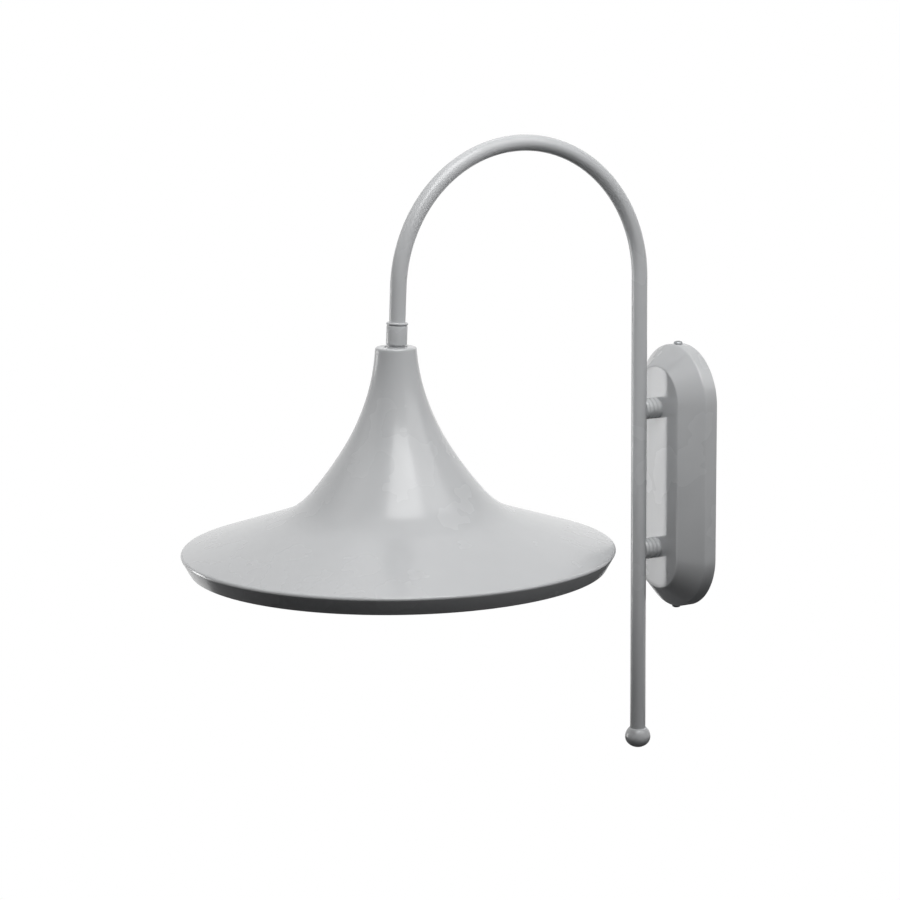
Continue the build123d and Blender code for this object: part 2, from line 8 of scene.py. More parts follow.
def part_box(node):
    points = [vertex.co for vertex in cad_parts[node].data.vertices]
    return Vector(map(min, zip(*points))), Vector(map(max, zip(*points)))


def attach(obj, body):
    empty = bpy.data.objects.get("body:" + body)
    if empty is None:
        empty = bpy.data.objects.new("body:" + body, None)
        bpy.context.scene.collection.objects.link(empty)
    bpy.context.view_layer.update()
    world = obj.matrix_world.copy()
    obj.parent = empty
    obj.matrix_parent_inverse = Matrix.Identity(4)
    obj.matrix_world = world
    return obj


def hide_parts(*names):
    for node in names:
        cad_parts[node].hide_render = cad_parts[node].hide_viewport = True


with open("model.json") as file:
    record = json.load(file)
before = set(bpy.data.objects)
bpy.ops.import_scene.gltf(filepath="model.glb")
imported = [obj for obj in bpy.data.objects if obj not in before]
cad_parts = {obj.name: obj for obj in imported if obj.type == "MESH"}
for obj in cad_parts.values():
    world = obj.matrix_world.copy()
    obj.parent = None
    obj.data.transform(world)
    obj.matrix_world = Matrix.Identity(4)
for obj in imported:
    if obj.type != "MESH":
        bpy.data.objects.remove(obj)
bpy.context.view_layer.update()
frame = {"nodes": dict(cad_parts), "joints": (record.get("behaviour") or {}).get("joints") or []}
nodes = frame["nodes"]
mm = 0.001
seatCentre = Vector(frame["joints"][0]["pos_m"])  # where the loose shade hangs
legLean = math.radians(3)
weldDistance = 2e-6
sameRing = 1e-6  # vertices closer than this lie in one ring
print("wall light: frame loaded,", len(nodes), "nodes")


def clearSelection():
    if bpy.context.object and bpy.context.object.mode != "OBJECT":
        bpy.ops.object.mode_set(mode="OBJECT")
    bpy.ops.object.select_all(action="DESELECT")


def pickVerts(piece, test):
    # leaves edit mode on, with only the vertices that pass the test selected
    bpy.ops.object.mode_set(mode="EDIT")
    bpy.ops.mesh.select_mode(type="VERT")
    bpy.ops.mesh.select_all(action="DESELECT")
    bpy.ops.object.mode_set(mode="OBJECT")
    for vertex in piece.data.vertices:
        vertex.select = test(vertex.co)
    bpy.ops.object.mode_set(mode="EDIT")


def applyPlace(piece):
    clearSelection()
    piece.select_set(True)
    bpy.context.view_layer.objects.active = piece
    bpy.ops.object.transform_apply(location=True, rotation=True, scale=True)


def applyModifier(piece, kind, **settings):
    clearSelection()
    piece.select_set(True)
    bpy.context.view_layer.objects.active = piece
    modifier = piece.modifiers.new(kind.title(), kind)
    for name, value in settings.items():
        setattr(modifier, name, value)
    bpy.ops.object.modifier_apply(modifier=modifier.name)


def smooth(piece, angle=35):
    clearSelection()
    piece.select_set(True)
    bpy.context.view_layer.objects.active = piece
    bpy.ops.object.shade_smooth_by_angle(angle=math.radians(angle))


def tidyNormals(piece):
    clearSelection()
    bpy.context.view_layer.objects.active = piece
    bpy.ops.object.mode_set(mode="EDIT")
    bpy.ops.mesh.select_all(action="SELECT")
    bpy.ops.mesh.remove_doubles(threshold=weldDistance)
    bpy.ops.mesh.normals_make_consistent(inside=False)
    bpy.ops.object.mode_set(mode="OBJECT")


def turnOnLathe(name, profile, steps=96):
    # one vertex is drawn out along the profile (radius, height in mm), then spun about Z
    clearSelection()
    bpy.ops.mesh.primitive_plane_add(size=mm, location=(0, 0, 0))
    piece = bpy.context.object
    piece.name = name
    bpy.ops.object.mode_set(mode="EDIT")
    bpy.ops.mesh.select_mode(type="VERT")
    bpy.ops.mesh.select_all(action="SELECT")
    bpy.ops.mesh.merge(type="CENTER")
    here = Vector((profile[0][0] * mm, 0, profile[0][1] * mm))
    bpy.ops.transform.translate(value=here)
    for radius, height in profile[1:]:
        there = Vector((radius * mm, 0, height * mm))
        bpy.ops.mesh.extrude_vertices_move(TRANSFORM_OT_translate={"value": there - here})
        here = there
    bpy.ops.mesh.select_all(action="SELECT")
    bpy.ops.mesh.spin(steps=steps, angle=2 * math.pi, center=(0, 0, 0), axis=(0, 0, 1))
    bpy.ops.object.mode_set(mode="OBJECT")
    tidyNormals(piece)
    return piece


def arcAlong(start, slopeFrom, slopeTo, length, count):
    # points on an arc that leaves start at slopeFrom from straight down, in radius and height
    points = []
    bend = (slopeTo - slopeFrom) / length
    for i in range(1, count + 1):
        slope = slopeFrom + bend * length * i / count
        radius = start[0] + (math.cos(slopeFrom) - math.cos(slope)) / bend
        height = start[1] - (math.sin(slope) - math.sin(slopeFrom)) / bend
        points.append((radius, height))
    return points


def rounded(centre, radius, fromDegrees, toDegrees, count=6):
    # points on a circle, in radius and height
    points = []
    for i in range(count + 1):
        angle = math.radians(fromDegrees + (toDegrees - fromDegrees) * i / count)
        points.append((centre[0] + radius * math.cos(angle), centre[1] + radius * math.sin(angle)))
    return points


def onLeg(piece):
    piece.rotation_euler = (-legLean, 0, 0)
    piece.location = seatCentre
    applyPlace(piece)
    return piece


def finishPiece(piece, material, slot, body, *replaced):
    piece.data.materials.clear()
    piece.data.materials.append(material)
    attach(piece, body)
    if replaced:
        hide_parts(*replaced)
    print("made", piece.name, len(piece.data.polygons), "faces")


def newMaterial(name):
    material = bpy.data.materials.new(name)
    material.use_nodes = True
    tree = material.node_tree
    return material, tree, tree.nodes["Principled BSDF"]


def noiseOn(tree, scale, detail=3.0, stretch=(1, 1, 1)):
    place = tree.nodes.new("ShaderNodeTexCoord")
    mapping = tree.nodes.new("ShaderNodeMapping")
    mapping.inputs["Scale"].default_value = stretch
    noise = tree.nodes.new("ShaderNodeTexNoise")
    noise.inputs["Scale"].default_value = scale
    noise.inputs["Detail"].default_value = detail
    tree.links.new(place.outputs["Object"], mapping.inputs["Vector"])
    tree.links.new(mapping.outputs["Vector"], noise.inputs["Vector"])
    return noise


def rampOn(tree, source, stops):
    ramp = tree.nodes.new("ShaderNodeValToRGB")
    ramp.color_ramp.elements[0].position = stops[0][0]
    ramp.color_ramp.elements[0].color = (*stops[0][1], 1)
    ramp.color_ramp.elements[1].position = stops[1][0]
    ramp.color_ramp.elements[1].color = (*stops[1][1], 1)
    tree.links.new(source, ramp.inputs["Fac"])
    return ramp


def roughnessFrom(tree, shader, noise, low, high):
    span = tree.nodes.new("ShaderNodeMapRange")
    span.inputs["To Min"].default_value = low
    span.inputs["To Max"].default_value = high
    tree.links.new(noise.outputs["Fac"], span.inputs["Value"])
    tree.links.new(span.outputs["Result"], shader.inputs["Roughness"])


def bumpFrom(tree, shader, noise, strength, distance):
    bump = tree.nodes.new("ShaderNodeBump")
    bump.inputs["Strength"].default_value = strength
    bump.inputs["Distance"].default_value = distance
    tree.links.new(noise.outputs["Fac"], bump.inputs["Height"])
    tree.links.new(bump.outputs["Normal"], shader.inputs["Normal"])


paint = {"dark": (0.545, 0.555, 0.565), "light": (0.57, 0.58, 0.59), "mottle": 18, "smoothest": 0.24, "roughest": 0.3,
         "orangePeel": 260, "peelDetail": 1.5, "peelStrength": 0.015, "peelDepth": 0.0003,
         "coat": 0.3, "coatRoughness": 0.12}
metalGrain = {"detail": 4.0, "strength": 0.05, "depth": 0.0002}
plasticGrain = {"finer": 12, "detail": 2.0, "strength": 0.08, "depth": 0.0002}
stripes = {"green": (0.05, 0.24, 0.05), "yellow": (0.72, 0.62, 0.05), "scale": 60, "cloud": 200,
           "smoothest": 0.38, "roughest": 0.5}


def glossPaint():
    material, tree, shader = newMaterial("glossGreyPaint")
    mottle = noiseOn(tree, paint["mottle"])
    tone = rampOn(tree, mottle.outputs["Fac"], [(0.3, paint["dark"]), (0.7, paint["light"])])
    tree.links.new(tone.outputs["Color"], shader.inputs["Base Color"])
    roughnessFrom(tree, shader, mottle, paint["smoothest"], paint["roughest"])
    peel = noiseOn(tree, paint["orangePeel"], paint["peelDetail"])
    bumpFrom(tree, shader, peel, paint["peelStrength"], paint["peelDepth"])
    shader.inputs["Coat Weight"].default_value = paint["coat"]
    shader.inputs["Coat Roughness"].default_value = paint["coatRoughness"]
    return material


def plainMetal(name, dark, light, grain, low, high, stretch=(1, 1, 1)):
    material, tree, shader = newMaterial(name)
    grainNoise = noiseOn(tree, grain, metalGrain["detail"], stretch)
    tone = rampOn(tree, grainNoise.outputs["Fac"], [(0.35, dark), (0.68, light)])
    tree.links.new(tone.outputs["Color"], shader.inputs["Base Color"])
    shader.inputs["Metallic"].default_value = 1.0
    roughnessFrom(tree, shader, grainNoise, low, high)
    bumpFrom(tree, shader, grainNoise, metalGrain["strength"], metalGrain["depth"])
    return material


def mouldedPlastic(name, dark, light, low, high, grain=90):
    material, tree, shader = newMaterial(name)
    cloud = noiseOn(tree, grain)
    tone = rampOn(tree, cloud.outputs["Fac"], [(0.3, dark), (0.7, light)])
    tree.links.new(tone.outputs["Color"], shader.inputs["Base Color"])
    roughnessFrom(tree, shader, cloud, low, high)
    fine = noiseOn(tree, grain * plasticGrain["finer"], plasticGrain["detail"])
    bumpFrom(tree, shader, fine, plasticGrain["strength"], plasticGrain["depth"])
    return material


def stripedInsulation():
    # green insulation with a yellow stripe wound round it
    material, tree, shader = newMaterial("greenYellowInsulation")
    place = tree.nodes.new("ShaderNodeTexCoord")
    wave = tree.nodes.new("ShaderNodeTexWave")
    wave.bands_direction = "DIAGONAL"
    wave.inputs["Scale"].default_value = stripes["scale"]
    tree.links.new(place.outputs["Object"], wave.inputs["Vector"])
    tone = rampOn(tree, wave.outputs["Fac"], [(0.48, stripes["green"]), (0.52, stripes["yellow"])])
    tree.links.new(tone.outputs["Color"], shader.inputs["Base Color"])
    roughnessFrom(tree, shader, noiseOn(tree, stripes["cloud"]), stripes["smoothest"], stripes["roughest"])
    return material


glossGrey = glossPaint()
zincSteel = plainMetal("zincSteel", (0.36, 0.37, 0.38), (0.5, 0.51, 0.52), 60, 0.28, 0.42)
screwSteel = plainMetal("screwSteel", (0.2, 0.21, 0.22), (0.36, 0.37, 0.38), 300, 0.25, 0.4)
stampedSteel = plainMetal("stampedSteel", (0.4, 0.4, 0.41), (0.56, 0.57, 0.58), 40, 0.3, 0.45, (1, 1, 0.15))
yellowBrass = plainMetal("yellowBrass", (0.55, 0.38, 0.16), (0.74, 0.54, 0.26), 120, 0.2, 0.34)
blackHolder = mouldedPlastic("blackHolder", (0.012, 0.012, 0.013), (0.024, 0.024, 0.025), 0.25, 0.36)
blockWhite = mouldedPlastic("blockWhite", (0.66, 0.65, 0.61), (0.74, 0.73, 0.69), 0.42, 0.55)
firedCeramic = mouldedPlastic("firedCeramic", (0.74, 0.72, 0.67), (0.84, 0.82, 0.77), 0.25, 0.4, 40)
brownInsulation = mouldedPlastic("brownInsulation", (0.11, 0.045, 0.02), (0.16, 0.07, 0.03), 0.38, 0.5)
blueInsulation = mouldedPlastic("blueInsulation", (0.02, 0.07, 0.32), (0.03, 0.1, 0.42), 0.38, 0.5)
earthInsulation = stripedInsulation()
print("finishes ready")


shadeShape = {
    "holeRadius": 9.7, "holeRounding": 0.9, "flatTop": (2.5, 4), "neckRadius": 17.65, "shoulder": 2.0,
    "neckSlope": 3.9, "stretches": [(36.9, 16.2), (51.5, 31.8), (50.4, 40.8), (37.7, 70.3), (33.9, 72.1)],
    "stretchSteps": 14, "brimShares": (0.25, 0.5, 0.75, 0.93), "rimRadius": 186.7, "rimRounding": 2.2,
    "bandInset": 8.1, "bandHeight": 14.4, "hem": 1.6, "hemTurn": 100, "hemSteps": 6, "sheet": 1.2, "steps": 216,
}


def filletCorner(before, corner, after, radius, count):
    # points of an arc that rounds a corner between two straight lines
    toBefore = (Vector(before) - Vector(corner)).normalized()
    toAfter = (Vector(after) - Vector(corner)).normalized()
    half = toBefore.angle(toAfter) / 2
    centre = Vector(corner) + (toBefore + toAfter).normalized() * radius / math.sin(half)
    first = Vector(corner) + toBefore * radius / math.tan(half) - centre
    last = Vector(corner) + toAfter * radius / math.tan(half) - centre
    sweep = first.angle_signed(last)
    points = []
    for i in range(count + 1):
        turned = first.copy()
        turned.rotate(Matrix.Rotation(-sweep * i / count, 2))
        points.append(tuple(centre + turned))
    return points


def makeShade():
    # each stretch of the flare is a length and the slope in degrees that it ends at
    s = shadeShape
    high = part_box("shade")[1]
    slope = math.radians(s["neckSlope"])
    neck = (s["neckRadius"], -s["shoulder"])
    shoulderCentre = (s["neckRadius"] - s["shoulder"] * math.cos(slope), neck[1] - s["shoulder"] * math.sin(slope))
    top = shoulderCentre[1] + s["shoulder"]
    lip = (s["holeRadius"] + s["holeRounding"], top - s["holeRounding"])
    profile = rounded(lip, s["holeRounding"], 180, 90, 5)
    profile += [(s["holeRadius"] + out, top) for out in s["flatTop"]]
    profile += rounded(shoulderCentre, s["shoulder"], 90, s["neckSlope"], 7)[:-1] + [neck]
    point = neck
    for length, nextSlope in s["stretches"]:
        turn = math.radians(nextSlope)
        profile += arcAlong(point, slope, turn, length, s["stretchSteps"])
        point = profile[-1]
        slope = turn
    run = (s["rimRadius"] - point[0]) / math.sin(slope)
    crease = (s["rimRadius"], point[1] - run * math.cos(slope))
    bandEnd = (crease[0] - s["bandInset"], crease[1] - s["bandHeight"])
    for share in s["brimShares"]:
        profile.append((point[0] + (crease[0] - point[0]) * share, point[1] + (crease[1] - point[1]) * share))
    profile += filletCorner(point, crease, bandEnd, s["rimRounding"], 7)
    profile += [((crease[0] + bandEnd[0]) / 2, (crease[1] + bandEnd[1]) / 2)]
    along = (Vector(bandEnd) - Vector(crease)).normalized()
    inward = Vector((-1, 0)) - along * along.dot(Vector((-1, 0)))
    inward.normalize()
    hemCentre = Vector(bandEnd) + inward * s["hem"]
    for i in range(s["hemSteps"] + 1):
        angle = math.radians(s["hemTurn"]) * i / s["hemSteps"]
        profile.append(tuple(hemCentre - inward * s["hem"] * math.cos(angle) + along * s["hem"] * math.sin(angle)))
    shade = turnOnLathe("shadeSkin", profile, s["steps"])
    applyModifier(shade, "SOLIDIFY", thickness=s["sheet"] * mm, offset=-1, use_even_offset=True)
    shade.location = (0, seatCentre.y, high.z - top * mm)
    applyPlace(shade)
    smooth(shade, 40)
    finishPiece(shade, glossGrey, "gloss_paint", "shade", "shade")


makeShade()


armShape = {"radius": 7.0, "wall": 1.0, "reach": 48.7, "arch": 122.3, "archHeight": 184.6, "foot": -232.0,
            "leg": 40.4, "sides": 96, "archSteps": 240, "uprightShares": (0.35, 0.3, 0.35), "legShares": (0.5, 0.5)}


def makeArm():
    a = armShape
    clearSelection()
    bpy.ops.mesh.primitive_circle_add(vertices=a["sides"], radius=a["radius"] * mm,
                                      location=(0, -a["reach"] * mm, a["foot"] * mm))
    arm = bpy.context.object
    arm.name = "armSkin"
    bpy.ops.object.mode_set(mode="EDIT")
    bpy.ops.mesh.select_all(action="SELECT")
    upright = (a["archHeight"] - a["foot"]) * mm
    for share in a["uprightShares"]:
        bpy.ops.mesh.extrude_region_move(TRANSFORM_OT_translate={"value": (0, 0, upright * share)})
    bpy.ops.object.mode_set(mode="OBJECT")
    applyPlace(arm)
    topZ = a["archHeight"] * mm
    centre = (0, (-a["reach"] - a["arch"]) * mm, topZ)
    pickVerts(arm, lambda co: abs(co.z - topZ) < 10 * sameRing)
    bpy.ops.mesh.spin(steps=a["archSteps"], angle=math.pi - legLean, center=centre, axis=(-1, 0, 0))
    down = Vector((0, -math.sin(legLean), -math.cos(legLean)))
    for share in a["legShares"]:
        bpy.ops.mesh.extrude_region_move(TRANSFORM_OT_translate={"value": down * a["leg"] * share * mm})
    bpy.ops.object.mode_set(mode="OBJECT")
    tidyNormals(arm)
    applyModifier(arm, "SOLIDIFY", thickness=a["wall"] * mm, offset=-1, use_even_offset=True)
    smooth(arm, 40)
    finishPiece(arm, glossGrey, "gloss_paint", "arm", "arm_tube")


makeArm()


finialShape = {"radius": 11.65, "topRise": 8.5, "bottomDrop": 9.8, "bowlSteps": 16, "crownSteps": 9,
               "ledge": 0.3, "landRise": 0.12, "landInset": 1, "steps": 72}


def makeFinial():
    f = finialShape
    crown = math.degrees(math.asin(f["topRise"] / f["radius"]))
    shoulder = f["radius"] * math.cos(math.radians(crown))
    profile = [(0, -f["bottomDrop"])]
    for i in range(1, f["bowlSteps"] + 1):
        angle = math.radians(-90 + 90 * i / f["bowlSteps"])
        profile.append((f["radius"] * math.cos(angle), f["bottomDrop"] * math.sin(angle)))
    profile += rounded((0, 0), f["radius"], 0, crown, f["crownSteps"])[1:]
    land = f["topRise"] + f["landRise"]
    profile += [(shoulder - f["ledge"], land), (armShape["radius"] - f["landInset"], land), (0, land)]
    finial = turnOnLathe("ballFinial", profile, f["steps"])
    finial.location = (0, -armShape["reach"] * mm, (armShape["foot"] - f["topRise"]) * mm)
    applyPlace(finial)
    smooth(finial, 50)
    finishPiece(finial, glossGrey, "gloss_paint", "arm", "ball_finial")


makeFinial()


collarShape = {"top": 32.25, "bottom": 13.3, "radius": 8.95, "lipRadius": 9.3, "lipHeight": 2.2,
               "grooveRadius": 8.5, "grooveHeight": 0.8, "grooveEase": 0.05, "tubeBore": 7.05, "tubeDepth": 10,
               "stemBore": 5.05, "footRounding": 0.5, "grooveRounding": 0.3, "lipUnder": 0.9, "lipOver": 1.0,
               "steps": 72}


def makeCollar():
    c = collarShape
    lipBottom = c["top"] - c["lipHeight"]
    grooveBottom = lipBottom - c["grooveHeight"]
    socketFloor = c["top"] - c["tubeDepth"]
    foot, groove, under, over = c["footRounding"], c["grooveRounding"], c["lipUnder"], c["lipOver"]
    profile = [(c["stemBore"], c["bottom"]), (c["radius"] - foot, c["bottom"])]
    profile += rounded((c["radius"] - foot, c["bottom"] + foot), foot, -90, 0, 4)[1:]
    profile += rounded((c["radius"] - groove, grooveBottom - groove), groove, 0, 90, 3)
    profile += [(c["grooveRadius"], grooveBottom + c["grooveEase"]), (c["grooveRadius"], lipBottom - c["grooveEase"])]
    profile += rounded((c["lipRadius"] - under, lipBottom + under), under, -90, 0, 6)
    profile += rounded((c["lipRadius"] - over, c["top"] - over), over, 0, 90, 6)
    profile += [(c["tubeBore"], c["top"]), (c["tubeBore"], socketFloor), (c["stemBore"], socketFloor),
                (c["stemBore"], c["bottom"])]
    collar = turnOnLathe("collarSleeve", profile, c["steps"])
    onLeg(collar)
    smooth(collar, 40)
    finishPiece(collar, glossGrey, "gloss_paint", "arm", "collar")


makeCollar()


canopyShape = {"width": 103.2, "height": 241.9, "rim": 11.9, "slopeDepth": 17.3, "slopeInset": 18.7,
               "rimRounding": 3.0, "faceRounding": 2.6, "faceInset": 4, "sheet": 1.2, "sides": 128,
               "leastStep": 1e-5}


def canopyProfile():
    # half-width and distance from the wall, from the rim's edge to the flat face
    c = canopyShape
    edge = c["width"] / 2
    wallEnd = (edge, c["rim"])
    faceEdge = (edge - c["slopeInset"], c["rim"] + c["slopeDepth"])
    start = (edge, 0)
    middle = (0, faceEdge[1])
    profile = [start, (edge, c["rim"] * 0.5)]
    profile += filletCorner(start, wallEnd, faceEdge, c["rimRounding"], 6)
    profile += [((edge + faceEdge[0]) / 2, (c["rim"] + faceEdge[1]) / 2)]
    profile += filletCorner(wallEnd, faceEdge, middle, c["faceRounding"], 6)
    return profile


def makeCanopy():
    c = canopyShape
    profile = canopyProfile()
    halfStraight = (c["height"] - c["width"]) / 2 * mm
    clearSelection()
    bpy.ops.mesh.primitive_circle_add(vertices=c["sides"], radius=profile[0][0] * mm,
                                      rotation=(math.pi / 2, math.pi / c["sides"], 0))
    dish = bpy.context.object
    dish.name = "canopyDish"
    applyPlace(dish)
    for side in (1, -1):
        pickVerts(dish, lambda co: co.z * side > 0)
        bpy.ops.transform.translate(value=(0, 0, side * halfStraight))
        bpy.ops.object.mode_set(mode="OBJECT")
    radius, depth = profile[0]
    for nextRadius, nextDepth in profile[1:]:
        ringY = -depth * mm
        step = -(nextDepth - depth) * mm or -c["leastStep"]
        pickVerts(dish, lambda co: abs(co.y - ringY) < sameRing)
        bpy.ops.mesh.extrude_region_move(TRANSFORM_OT_translate={"value": (0, step, 0)})
        bpy.ops.object.mode_set(mode="OBJECT")
        newY = ringY + step
        if abs(nextRadius - radius) > sameRing:
            grow = nextRadius / radius
            for side in (1, -1):
                pickVerts(dish, lambda co: abs(co.y - newY) < sameRing and co.z * side > 0)
                bpy.ops.transform.resize(value=(grow, 1, grow), center_override=(0, newY, side * halfStraight))
                bpy.ops.object.mode_set(mode="OBJECT")
        radius = nextRadius
        depth = -newY / mm
    pickVerts(dish, lambda co: abs(co.y + depth * mm) < sameRing)
    bpy.ops.mesh.edge_face_add()
    bpy.ops.mesh.inset(thickness=c["faceInset"] * mm)
    bpy.ops.object.mode_set(mode="OBJECT")
    tidyNormals(dish)
    applyModifier(dish, "SOLIDIFY", thickness=c["sheet"] * mm, offset=-1, use_even_offset=True)
    smooth(dish, 30)
    finishPiece(dish, glossGrey, "gloss_paint", "arm", "canopy_cover")


makeCanopy()


coverScrew = {"headRadius": 4.0, "headHeight": 2.5, "headEdge": 0.3, "edgeHeight": 0.35, "domeFoot": 0.9,
              "flatShare": 0.45, "domeShare": 0.55, "domeSteps": 6, "shank": 1.95, "length": 9.0, "pitch": 0.7,
              "threadDepth": 0.22, "fromWall": 6.4, "recess": 1.3, "recessReach": 2.1, "recessWidth": 0.9,
              "recessBevel": 0.12, "turned": 20, "steps": 40}


def threadedProfile(radius, top, bottom, pitch, depth):
    # ridges all the way down a shank, as radius and height
    points = []
    turns = max(1, int((top - bottom) / pitch))
    for i in range(turns):
        z = top - i * pitch
        points += [(radius - depth, z), (radius, z - pitch * 0.5)]
    points.append((radius - depth, bottom))
    return points


def crossRecess(piece, top, reach, width, depth, bevel):
    # a cross sunk into a screw's head, cut with two crossed bars
    for turn in (0, math.pi / 2):
        clearSelection()
        bpy.ops.mesh.primitive_cube_add(size=1, location=(0, 0, top * mm), rotation=(0, 0, turn),
                                        scale=(2 * reach * mm, width * mm, 2 * depth * mm))
        bar = bpy.context.object
        applyPlace(bar)
        applyModifier(bar, "BEVEL", width=bevel * mm, segments=1)
        applyModifier(piece, "BOOLEAN", operation="DIFFERENCE", object=bar, solver="EXACT")
        bpy.data.objects.remove(bar)


def makeCoverScrews():
    s = coverScrew
    for name, side in (("coverScrewTop", 1), ("coverScrewBottom", -1)):
        thread = threadedProfile(s["shank"], 0, -s["length"], s["pitch"], s["threadDepth"])
        profile = [(0, -s["length"])] + thread[::-1]
        profile += [(s["headRadius"] - s["headEdge"], 0), (s["headRadius"], s["edgeHeight"])]
        for i in range(1, s["domeSteps"] + 1):
            angle = math.radians(90 * i / s["domeSteps"])
            profile.append((s["headRadius"] * s["flatShare"] + s["headRadius"] * s["domeShare"] * math.cos(angle),
                            s["domeFoot"] + (s["headHeight"] - s["domeFoot"]) * math.sin(angle)))
        profile.append((0, s["headHeight"]))
        screw = turnOnLathe(name, profile, s["steps"])
        crossRecess(screw, s["headHeight"], s["recessReach"], s["recessWidth"], s["recess"], s["recessBevel"])
        screw.rotation_euler = (0 if side > 0 else math.pi, 0, math.radians(s["turned"]))
        screw.location = (0, -s["fromWall"] * mm, side * canopyShape["height"] / 2 * mm)
        applyPlace(screw)
        smooth(screw, 35)
        finishPiece(screw, screwSteel, "steel", "arm", "cover_screws")


makeCoverScrews()


spacerShape = {"fromMiddle": 64.4, "radius": 9.5, "ribs": 3, "ribHeight": 0.5, "ribSteps": 8, "leastRib": 0.2,
               "saddle": 3.5, "bore": 4.1, "steps": 72, "cutterSides": 96, "cutterLength": 40}


def makeSpacer(name, z, replaced):
    # ribbed sleeve, coped at its front end to sit round the tube
    s = spacerShape
    face = canopyShape["rim"] + canopyShape["slopeDepth"]
    tubeBack = armShape["reach"] - armShape["radius"]
    rib = (tubeBack - face) / s["ribs"]
    end = tubeBack - face + s["saddle"]
    profile = [(s["bore"], 0)]
    place = 0
    while place < end - rib * s["leastRib"]:
        stop = min(place + rib, end)
        for i in range(s["ribSteps"] + 1):
            share = i / s["ribSteps"]
            bulge = (1 - math.cos(2 * math.pi * share)) / 2
            profile.append((s["radius"] - s["ribHeight"] * (1 - bulge), place + (stop - place) * share))
        place = stop
    profile += [(s["bore"], end), (s["bore"], 0)]
    spacer = turnOnLathe(name, profile, s["steps"])
    spacer.rotation_euler = (math.pi / 2, 0, 0)
    spacer.location = (0, -face * mm, z * mm)
    applyPlace(spacer)
    clearSelection()
    bpy.ops.mesh.primitive_cylinder_add(vertices=s["cutterSides"], radius=armShape["radius"] * mm,
                                        depth=s["cutterLength"] * mm, location=(0, -armShape["reach"] * mm, z * mm))
    cutter = bpy.context.object
    applyPlace(cutter)
    applyModifier(spacer, "BOOLEAN", operation="DIFFERENCE", object=cutter, solver="EXACT")
    bpy.data.objects.remove(cutter)
    smooth(spacer, 40)
    finishPiece(spacer, glossGrey, "gloss_paint", "arm", replaced)


makeSpacer("spacerTop", spacerShape["fromMiddle"], "upper_spacer")
makeSpacer("spacerBottom", -spacerShape["fromMiddle"], "lower_spacer")


seatShape = {"radius": 14.0, "rise": 11.5, "drop": 4.0, "hubRadius": 7.0, "hubTop": 13.3, "bore": 5.0,
             "ballSteps": 18, "steps": 72}


def makeSeat():
    s = seatShape
    profile = [(s["bore"], -s["drop"])]
    start = math.degrees(math.asin(-s["drop"] / s["radius"]))
    stop = math.degrees(math.asin(s["rise"] / s["radius"]))
    profile += rounded((0, 0), s["radius"], start, stop, s["ballSteps"])
    profile += [(s["hubRadius"], s["rise"]), (s["hubRadius"], s["hubTop"]), (s["bore"], s["hubTop"]),
                (s["bore"], -s["drop"])]
    seat = turnOnLathe("roundSeat", profile, s["steps"])
    onLeg(seat)
    smooth(seat, 40)
    finishPiece(seat, glossGrey, "gloss_paint", "arm", "shade_seat")


makeSeat()


holderShape = {"top": -10.5, "bore": 5.0, "bossRadius": 8.0, "bossHeight": 5.0, "bossRounding": 0.6, "radius": 19.75,
               "dome": 12.0, "domeSteps": 16, "cap": 21.0, "edge": 0.4, "wall": 1.5, "skinShare": 0.6, "steps": 96}
skirtShape = {"height": 56.0, "seam": 0.2, "ridgesFrom": 6, "ridges": 5, "ridgePitch": 2.5, "grooveDepth": 0.7,
              "grooveStart": 0.6, "grooveFloor": 1.25, "grooveEnd": 1.9, "ringHeight": 6.0, "ringStep": 1.2,
              "ringSlope": 1.6, "ringShoulder": 1, "mouthRadius": 15.4, "mouthEdge": 0.5, "mouthFloor": 1.6}


def makeHolderCap():
    h = holderShape
    bossEnd = h["top"] - h["bossHeight"]
    domeEnd = bossEnd - h["dome"]
    capEnd = h["top"] - h["cap"]
    rounding = h["bossRounding"]
    profile = [(h["bore"], h["top"]), (h["bossRadius"] - rounding, h["top"])]
    profile += rounded((h["bossRadius"] - rounding, h["top"] - rounding), rounding, 90, 0, 4)[1:]
    for i in range(h["domeSteps"] + 1):
        angle = math.radians(90 - 90 * i / h["domeSteps"])
        profile.append((h["bossRadius"] + (h["radius"] - h["bossRadius"]) * math.cos(angle),
                        domeEnd + h["dome"] * math.sin(angle)))
    profile += [(h["radius"], capEnd + h["edge"]), (h["radius"] - h["edge"], capEnd),
                (h["radius"] - h["wall"], capEnd)]
    cap = turnOnLathe("holderCap", profile, h["steps"])
    applyModifier(cap, "SOLIDIFY", thickness=h["wall"] * h["skinShare"] * mm, offset=-1)
    onLeg(cap)
    smooth(cap, 35)
    finishPiece(cap, blackHolder, "holder_plastic", "arm", "holder_cap")


